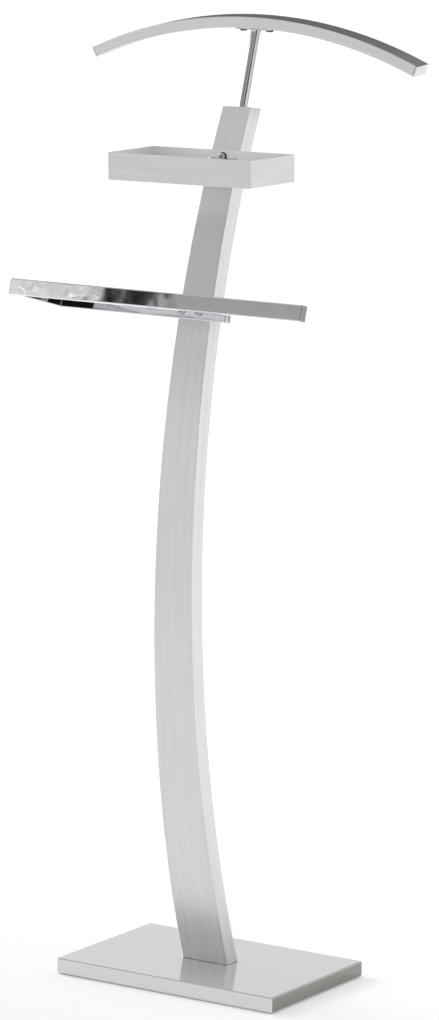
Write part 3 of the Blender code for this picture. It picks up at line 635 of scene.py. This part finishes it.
rail = rail_block(
    (RAIL_LEFT, -RAIL_REACH, -RAIL_TALL / 2), (front_end, -STAND_OFF, RAIL_TALL / 2), RAIL_CORNER
)
rail.name = "chromed_trouser_rail"
for low, high in (
    (
        (RAIL_LEFT + RAIL_THICK, -RAIL_REACH + RAIL_THICK, -RAIL_TALL),
        (front_end + RAIL_THICK, -STAND_OFF - RAIL_THICK, RAIL_TALL),
    ),
    (
        (rear_end, -STAND_OFF - 2 * RAIL_THICK, -RAIL_TALL),
        (front_end + RAIL_THICK, RAIL_THICK, RAIL_TALL),
    ),
):
    waste = rail_block(low, high, RAIL_INNER_CORNER)
    shape_with(rail, "BOOLEAN", object=waste, operation="DIFFERENCE", solver="EXACT")
    bpy.data.objects.remove(waste)


def along_the_tube(edge):
    """Whether an edge runs along the tube's top or bottom and isn't on one of its open ends."""
    first, second = (v.co for v in edge.verts)
    level = min(abs(first.z), abs(second.z)) > RAIL_TALL / 2 - AIR
    on_end = min(first.x, second.x) > 0.0 and abs(first.x - second.x) < AIR
    return level and not on_end and edge.calc_face_angle(0.0) > 1.0


choose(rail, "edges", along_the_tube)
bpy.ops.mesh.bevel(offset=RAIL_EDGE, segments=5, affect="EDGES")
shade(rail)
settle(rail, RAIL_FRAME)

# Bright chrome over nickel: a clear mirror, very slightly blue. Polishing leaves the tube a little
# wavy over 3 to 5 cm, which bends what it mirrors, and handling leaves a faint greasy haze.
chrome, shader = new_material("polished_chrome_plate")
shader.inputs["Metallic"].default_value = 1.0
at = add_node(chrome, "ShaderNodeTexCoord").outputs["Object"]
smears = add_node(chrome, "ShaderNodeTexNoise", {"Vector": at}, {"Scale": 1 / 0.02, "Detail": 4.0})
haze = add_node(
    chrome,
    "ShaderNodeMapRange",
    {"Value": smears.outputs["Fac"]},
    {"From Min": 0.35, "From Max": 0.75, "To Min": 0.03, "To Max": 0.09},
)
tone = add_node(chrome, "ShaderNodeValToRGB", {"Fac": smears.outputs["Fac"]})
tone.color_ramp.elements[0].color = linear("#D5D7DA")
tone.color_ramp.elements[1].color = linear("#DCDDDF")
wave = add_node(chrome, "ShaderNodeTexNoise", {"Vector": at}, {"Scale": 1 / 0.035, "Detail": 1.0})
ripple = add_node(
    chrome,
    "ShaderNodeBump",
    {"Height": wave.outputs["Fac"]},
    {"Strength": 0.35, "Distance": 0.0008},
)
chrome.node_tree.links.new(tone.outputs["Color"], shader.inputs["Base Color"])
chrome.node_tree.links.new(haze.outputs["Result"], shader.inputs["Roughness"])
chrome.node_tree.links.new(ripple.outputs["Normal"], shader.inputs["Normal"])
rail.data.materials.append(chrome)
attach(rail, "stand")
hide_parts("trouser_rail")

for name, end, line in (
    ("rail_front_cap", RAIL_FRONT_END, front_line),
    ("rail_rear_cap", RAIL_REAR_END, rear_line),
):
    nothing_selected()
    bpy.ops.mesh.primitive_cube_add(
        size=1.0,
        location=(end - END_PLATE / 2, line, 0.0),
        scale=(END_PLATE, RAIL_THICK, RAIL_TALL),
    )
    end_plate = bpy.context.object
    end_plate.name = name.replace("_cap", "_end_plate")
    settle(end_plate)
    choose(end_plate, "edges", lambda e: abs(e.verts[0].co.x - e.verts[1].co.x) > AIR)
    bpy.ops.mesh.bevel(offset=RAIL_EDGE, segments=5, affect="EDGES")
    shape_with(
        end_plate,
        "BEVEL",
        width=PLATE_EDGE,
        segments=3,
        limit_method="ANGLE",
        angle_limit=1.0,
    )
    shade(end_plate)
    settle(end_plate, RAIL_FRAME)
    end_plate.data.materials.append(chrome)
    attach(end_plate, "stand")
    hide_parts(name)

for number, side in enumerate((-1, 1), 1):
    seat = (side * RAIL_SCREW_SPACING / 2, rear_line - RAIL_THICK / 2 - AIR, 0.0)
    place = RAIL_FRAME @ Matrix.Translation(seat) @ to_front
    rail_screw = button_head(f"rail_button_head_{number}", 0.0047, 0.0026, place)
    rail_screw.data.materials.append(zinc)
    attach(rail_screw, "stand")
    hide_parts(f"rail_screw_{number}")

# ---------------------------------------------------------------- post
# An 11 mm chromed steel rod that leans back out of the column and turns in its bush. Its top is
# upset to a short collar, cut at a slant and welded to the saddle under the hanger.

POST_LENGTH = 0.0932
POST_SHOULDER = 0.004
COLLAR = 0.0008
COLLAR_DEPTH = 0.0075
COLLAR_FLARE = 0.002
COLLAR_ABOVE_FLARE = 0.0095
HANGER_TURN = math.radians(3.8)
HANGER_PITCH = math.radians(21.4)
SADDLE = 0.0016
SWIVEL_FRAME = POST_FRAME @ Matrix.Rotation(HANGER_TURN, 4, "Z")
SEAT_IN_SWIVEL = Matrix.Translation((0.0, 0.0, POST_LENGTH)) @ Matrix.Rotation(HANGER_PITCH, 4, "X")

nothing_selected()
straight = POST_LENGTH - COLLAR_DEPTH
bpy.ops.mesh.primitive_cylinder_add(
    vertices=64,
    radius=POST_RADIUS,
    depth=straight + POST_SHOULDER,
    location=(0.0, 0.0, (straight - POST_SHOULDER) / 2),
)
post = bpy.context.object
post.name = "chromed_post"
settle(post)
choose(post, "faces", lambda f: f.normal.z > 0.9)
swell = 1.0 + COLLAR / POST_RADIUS
bpy.ops.mesh.extrude_region_move(TRANSFORM_OT_translate={"value": (0.0, 0.0, COLLAR_FLARE)})
bpy.ops.transform.resize(value=(swell, swell, 1.0), center_override=(0.0, 0.0, straight))
bpy.ops.mesh.extrude_region_move(
    TRANSFORM_OT_translate={"value": (0.0, 0.0, COLLAR_ABOVE_FLARE)}
)
slant = SEAT_IN_SWIVEL @ Vector((0.0, 0.0, -SADDLE - 2 * AIR))
saw(post, slant, SEAT_IN_SWIVEL.to_3x3() @ up, True)
shade(post, 25)
settle(post, SWIVEL_FRAME)
post.data.materials.append(chrome)
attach(post, "hanger")
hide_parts("hanger_post")
dress(["post_spring_washer", "post_retaining_clip"], zinc)

# ---------------------------------------------------------------- hanger
# A 27 by 13 mm flat steel tube rolled on its flat side to an arch, plugged at both ends, brushed
# from end to end and satin lacquered. Two black screws hold it down on the post's saddle.

HANGER_RADIUS = 0.532  # of the top face
HANGER_TALL = 0.0127
HANGER_DEPTH = 0.0268
HANGER_EDGE = 0.0010
HANGER_HALF_ANGLE = math.radians(23.7)
HANGER_PLUG = 0.002
HANGER_SCREW_SPACING = 0.034
ARCH_CENTRE = (0.0, 0.0, HANGER_TALL - HANGER_RADIUS)  # from the top of the post
ARCH_FRAME = SWIVEL_FRAME @ SEAT_IN_SWIVEL @ Matrix.Translation(ARCH_CENTRE)

nothing_selected()
middle = HANGER_RADIUS - HANGER_TALL / 2
bpy.ops.mesh.primitive_plane_add(
    size=1.0, location=(0.0, 0.0, middle), rotation=(0.0, math.radians(90), 0.0)
)
bar = bpy.context.object
bar.name = "brushed_hanger_bar"
bar.scale = (HANGER_TALL, HANGER_DEPTH, 1.0)
settle(bar)
choose(bar, "verts", lambda v: True)
bpy.ops.mesh.bevel(offset=HANGER_EDGE, segments=5, affect="VERTICES")
choose(bar, "faces", lambda f: True)
bpy.ops.mesh.delete(type="ONLY_FACE")
choose(bar, "edges", lambda e: True)
half = HANGER_HALF_ANGLE - (HANGER_PLUG + AIR) / HANGER_RADIUS
bpy.ops.mesh.spin(steps=96, angle=2 * half, center=(0.0, 0.0, 0.0), axis=(0.0, -1.0, 0.0))
settle(bar, Matrix.Rotation(-half, 4, "Y"))
choose(bar, "verts", lambda v: True)
bpy.ops.mesh.remove_doubles(threshold=0.00001)
bpy.ops.mesh.fill_holes(sides=0)
bpy.ops.mesh.normals_make_consistent(inside=False)
shade(bar)


def along_the_arch(point):
    return math.hypot(point.x, point.z) + point.y, math.atan2(point.x, point.z) * HANGER_RADIUS


lay_brushing(bar, along_the_arch)
settle(bar, ARCH_FRAME)
bar.data.materials.append(satin)
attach(bar, "hanger")
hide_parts("hanger_bar")

for name, side in (("hanger_end_cap_left", -1), ("hanger_end_cap_right", 1)):
    nothing_selected()
    bpy.ops.mesh.primitive_cube_add(
        size=1.0, location=(0.0, 0.0, middle), scale=(HANGER_PLUG, HANGER_DEPTH, HANGER_TALL)
    )
    plug = bpy.context.object
    plug.name = name.replace("end_cap", "end_plug")
    settle(plug)
    choose(plug, "edges", lambda e: abs(e.verts[0].co.x - e.verts[1].co.x) > AIR)
    bpy.ops.mesh.bevel(offset=HANGER_EDGE, segments=5, affect="EDGES")
    shape_with(plug, "BEVEL", width=PLATE_EDGE, segments=3, limit_method="ANGLE", angle_limit=1.0)
    shade(plug)
    turn = side * (HANGER_HALF_ANGLE - HANGER_PLUG / 2 / HANGER_RADIUS)
    settle(plug, Matrix.Rotation(turn, 4, "Y"))
    lay_brushing(plug, along_the_arch)
    settle(plug, ARCH_FRAME)
    plug.data.materials.append(satin)
    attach(plug, "hanger")
    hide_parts(name)

under_saddle = HANGER_RADIUS - HANGER_TALL - 2 * AIR - SADDLE
upside_down = Matrix.Rotation(math.radians(180), 4, "X")
for number, side in enumerate((-1, 1), 1):
    turn = side * math.asin(HANGER_SCREW_SPACING / 2 / (HANGER_RADIUS - HANGER_TALL))
    place = (
        ARCH_FRAME
        @ Matrix.Rotation(turn, 4, "Y")
        @ Matrix.Translation((0.0, 0.0, under_saddle))
        @ upside_down
    )
    hanger_screw = button_head(f"hanger_button_head_{number}", 0.0045, 0.0024, place)
    hanger_screw.data.materials.append(blackened)
    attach(hanger_screw, "hanger")
    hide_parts(f"hanger_screw_{number}")
dress(["hanger_saddle"], zinc)

# ---------------------------------------------------------------- studio
# A white floor that runs on to the horizon and glows with painted light, more at the back right, a
# soft sky that is bright low down and darker above, a soft box at the left, and cards out of view
# that give bright metal something to mirror.

nothing_selected()
bpy.ops.mesh.primitive_plane_add(size=160.0, location=(0.0, 0.0, 0.0))
floor = bpy.context.object
floor.name = "studio_floor"
matt_white, shader = new_material("matt_white_studio_floor")
shader.inputs["Roughness"].default_value = 0.9
shader.inputs["Specular IOR Level"].default_value = 0.1
shader.inputs["Emission Color"].default_value = linear("#FFFFFF")
at = add_node(matt_white, "ShaderNodeTexCoord").outputs["Object"]
scuffs = add_node(matt_white, "ShaderNodeTexNoise", {"Vector": at}, {"Scale": 1.5, "Detail": 3.0})
tone = add_node(matt_white, "ShaderNodeValToRGB", {"Fac": scuffs.outputs["Fac"]})
tone.color_ramp.elements[0].color = linear("#F3F3F3")
tone.color_ramp.elements[1].color = linear("#F8F8F8")
# Painted light: the floor glows more towards the back right and less towards the front left.
back = add_node(
    matt_white, "ShaderNodeVectorMath", {0: at}, {1: (0.45, 0.89, 0.0)}, operation="DOT_PRODUCT"
)
painted_floor_glow = add_node(
    matt_white,
    "ShaderNodeMapRange",
    {"Value": back.outputs["Value"]},
    {"From Min": -0.4, "From Max": 1.2, "To Min": 0.16, "To Max": 0.5},
)
matt_white.node_tree.links.new(tone.outputs["Color"], shader.inputs["Base Color"])
matt_white.node_tree.links.new(painted_floor_glow.outputs["Result"], shader.inputs["Emission Strength"])
floor.data.materials.append(matt_white)

sky = bpy.data.worlds.new("studio_sky")
sky.use_nodes = True
bpy.context.scene.world = sky
background = sky.node_tree.nodes["Background"]
towards = add_node(sky, "ShaderNodeTexCoord").outputs["Generated"]
axes = add_node(sky, "ShaderNodeSeparateXYZ", {"Vector": towards})
skies = []
for stops in (
    ((0.0, 1.0), (0.2, 0.86), (0.28, 0.5), (0.36, 0.4), (0.46, 0.42), (0.65, 0.8), (1.0, 0.7)),
    ((0.0, 1.05), (0.2, 0.84), (0.38, 0.82), (0.55, 0.5), (0.7, 0.5), (1.0, 0.7)),
):
    ramp = add_node(sky, "ShaderNodeValToRGB", {"Fac": axes.outputs["Z"]})
    while len(ramp.color_ramp.elements) < len(stops):
        ramp.color_ramp.elements.new(0.5)
    for stop, (position, brightness) in zip(ramp.color_ramp.elements, stops):
        stop.position = position
        stop.color = (brightness, brightness, brightness, 1.0)
    skies.append(ramp)
behind = add_node(
    sky, "ShaderNodeMapRange", {"Value": axes.outputs["Y"]}, {"From Min": -0.4, "From Max": 0.4}
)
whole = add_node(
    sky,
    "ShaderNodeMix",
    {0: behind.outputs["Result"], 6: skies[0].outputs["Color"], 7: skies[1].outputs["Color"]},
    data_type="RGBA",
)
sky.node_tree.links.new(whole.outputs[2], background.inputs["Color"])
background.inputs["Strength"].default_value = 1.0

# Flocked black card is nearly black and quite matt, and only its front is there. The lit card
# glows in soft pools, as where lamps stand close to it.
flock, shader = new_material("black_flocked_card")
shader.inputs["Roughness"].default_value = 1.0
shader.inputs["Specular IOR Level"].default_value = 0.0
at = add_node(flock, "ShaderNodeTexCoord").outputs["Object"]
nap = add_node(flock, "ShaderNodeTexNoise", {"Vector": at}, {"Scale": 40.0})
tone = add_node(flock, "ShaderNodeValToRGB", {"Fac": nap.outputs["Fac"]})
tone.color_ramp.elements[0].color = linear("#1C1C1C")
tone.color_ramp.elements[1].color = linear("#2A2A2A")
seen_from_behind = add_node(flock, "ShaderNodeNewGeometry").outputs["Backfacing"]
front_only = add_node(
    flock, "ShaderNodeMath", {1: seen_from_behind}, {0: 1.0}, operation="SUBTRACT"
)
flock.node_tree.links.new(tone.outputs["Color"], shader.inputs["Base Color"])
flock.node_tree.links.new(front_only.outputs["Value"], shader.inputs["Alpha"])
grey, shader = new_material("warm_grey_card")
shader.inputs["Specular IOR Level"].default_value = 0.0
at = add_node(grey, "ShaderNodeTexCoord").outputs["Object"]
nap = add_node(grey, "ShaderNodeTexNoise", {"Vector": at}, {"Scale": 40.0})
tone = add_node(grey, "ShaderNodeValToRGB", {"Fac": nap.outputs["Fac"]})
tone.color_ramp.elements[0].color = linear("#B9B6B2")
tone.color_ramp.elements[1].color = linear("#CAC7C3")
grey.node_tree.links.new(tone.outputs["Color"], shader.inputs["Base Color"])
lit_card, shader = new_material("lit_white_card")
shader.inputs["Roughness"].default_value = 0.8
shader.inputs["Emission Color"].default_value = linear("#FFFFFF")
shader.inputs["Base Color"].default_value = linear("#404040")
at = add_node(lit_card, "ShaderNodeTexCoord").outputs["Object"]
nap = add_node(lit_card, "ShaderNodeTexNoise", {"Vector": at}, {"Scale": 11.0})
pools = add_node(
    lit_card,
    "ShaderNodeMapRange",
    {"Value": nap.outputs["Fac"]},
    {"From Min": 0.35, "From Max": 0.65, "To Min": 0.15, "To Max": 1.5},
)
lit_card.node_tree.links.new(pools.outputs["Result"], shader.inputs["Emission Strength"])


def card(name, finish, location, aim, size):
    """A card that faces a point and is seen only in reflections."""
    nothing_selected()
    turn = (Vector(aim) - Vector(location)).to_track_quat("Z", "Y").to_euler()
    bpy.ops.mesh.primitive_plane_add(size=1.0, location=location, rotation=turn)
    made = bpy.context.object
    made.name = name
    made.scale = (*size, 1.0)
    made.data.materials.append(finish)
    made.visible_camera = False
    made.visible_diffuse = False
    made.visible_shadow = False


card("black_card_behind", flock, (-1.25, 1.85, 2.05), (0.0, 0.05, 2.05), (2.4, 2.0))
card("black_card_right", flock, (1.9, -1.2, 1.35), (0.0, 0.05, 1.35), (1.0, 1.2))
card("black_card_left", flock, (-0.1, -1.9, 2.35), (0.0, 0.1, 1.0), (0.3, 0.9))
card("black_card_small", flock, (-1.216, -1.662, 1.404), (0.0, -0.12, 0.78), (0.09, 0.35))
card("white_card_small", lit_card, (-1.431, -1.757, 1.443), (0.0, -0.12, 0.78), (0.24, 0.16))
card("black_card_over_camera", flock, (1.62, -2.3, 1.68), (-0.1, -0.05, 0.8), (1.2, 0.7))
card("black_strip_left", flock, (-0.115, 0.125, 1.04), (0.0, 0.09, 1.04), (0.03, 0.1))
card("black_strip_right", flock, (0.09, 0.165, 1.034), (0.0, 0.09, 1.04), (0.03, 0.1))
# Painted shade: a black card inside the rail's U stands in for the shade between its arms, which
# the rear arm's front face mirrors.
card("painted_shade_card_in_rail", flock, (-0.168, -0.045, 0.786), (-0.168, 0.05, 0.786), (0.044, 0.032))
card("grey_card_front_end", grey, (0.258, -0.034, 0.782), (0.21, -0.1, 0.794), (0.034, 0.044))
card("grey_card_rear_end", grey, (0.09, 0.05, 0.753), (0.05, -0.005, 0.768), (0.022, 0.03))
# Painted shadow: a grey card on the floor beside the base's right side stands in for the shadow
# there, which the base's lacquered edge mirrors.
card("painted_shadow_card_floor", grey, (0.198, 0.05, 0.0006), (0.198, 0.05, 1.0), (0.09, 0.28))

nothing_selected()
bpy.ops.object.light_add(type="AREA", location=(-3.3, 0.2, 2.3))
soft_box = bpy.context.object
soft_box.data.shape = "RECTANGLE"
soft_box.data.size = 1.6
soft_box.data.size_y = 1.6
soft_box.data.energy = 50.0
to_column = Vector((0.0, 0.0, 0.4)) - soft_box.location
soft_box.rotation_euler = to_column.to_track_quat("-Z", "Y").to_euler()

# A small lamp close above the tray lights its inside and reaches nothing higher up.
nothing_selected()
bpy.ops.object.light_add(type="AREA", location=(0.0, -0.03, 1.0))
tray_lamp = bpy.context.object
tray_lamp.data.shape = "RECTANGLE"
tray_lamp.data.size = 0.17
tray_lamp.data.size_y = 0.06
tray_lamp.data.energy = 0.07
tray_lamp.visible_camera = False
tray_lamp.visible_glossy = False

CAMERA_PLACE = (2.8965, -4.1014, 1.4303)
CAMERA_TURN = math.radians(35.056)
CAMERA_DIP = math.radians(10.02)
CAMERA_ROLL = math.radians(-0.376)

camera_data = bpy.data.cameras.new("camera")
camera_data.sensor_fit = "VERTICAL"
camera_data.sensor_height = 24.0
camera_data.lens = 106.27
camera = bpy.data.objects.new("camera", camera_data)
bpy.context.scene.collection.objects.link(camera)
camera.matrix_world = (
    Matrix.Translation(CAMERA_PLACE)
    @ Matrix.Rotation(CAMERA_TURN, 4, "Z")
    @ Matrix.Rotation(math.radians(90) - CAMERA_DIP, 4, "X")
    @ Matrix.Rotation(CAMERA_ROLL, 4, "Z")
)
bpy.context.scene.camera = camera
bpy.context.scene.view_settings.view_transform = "Standard"
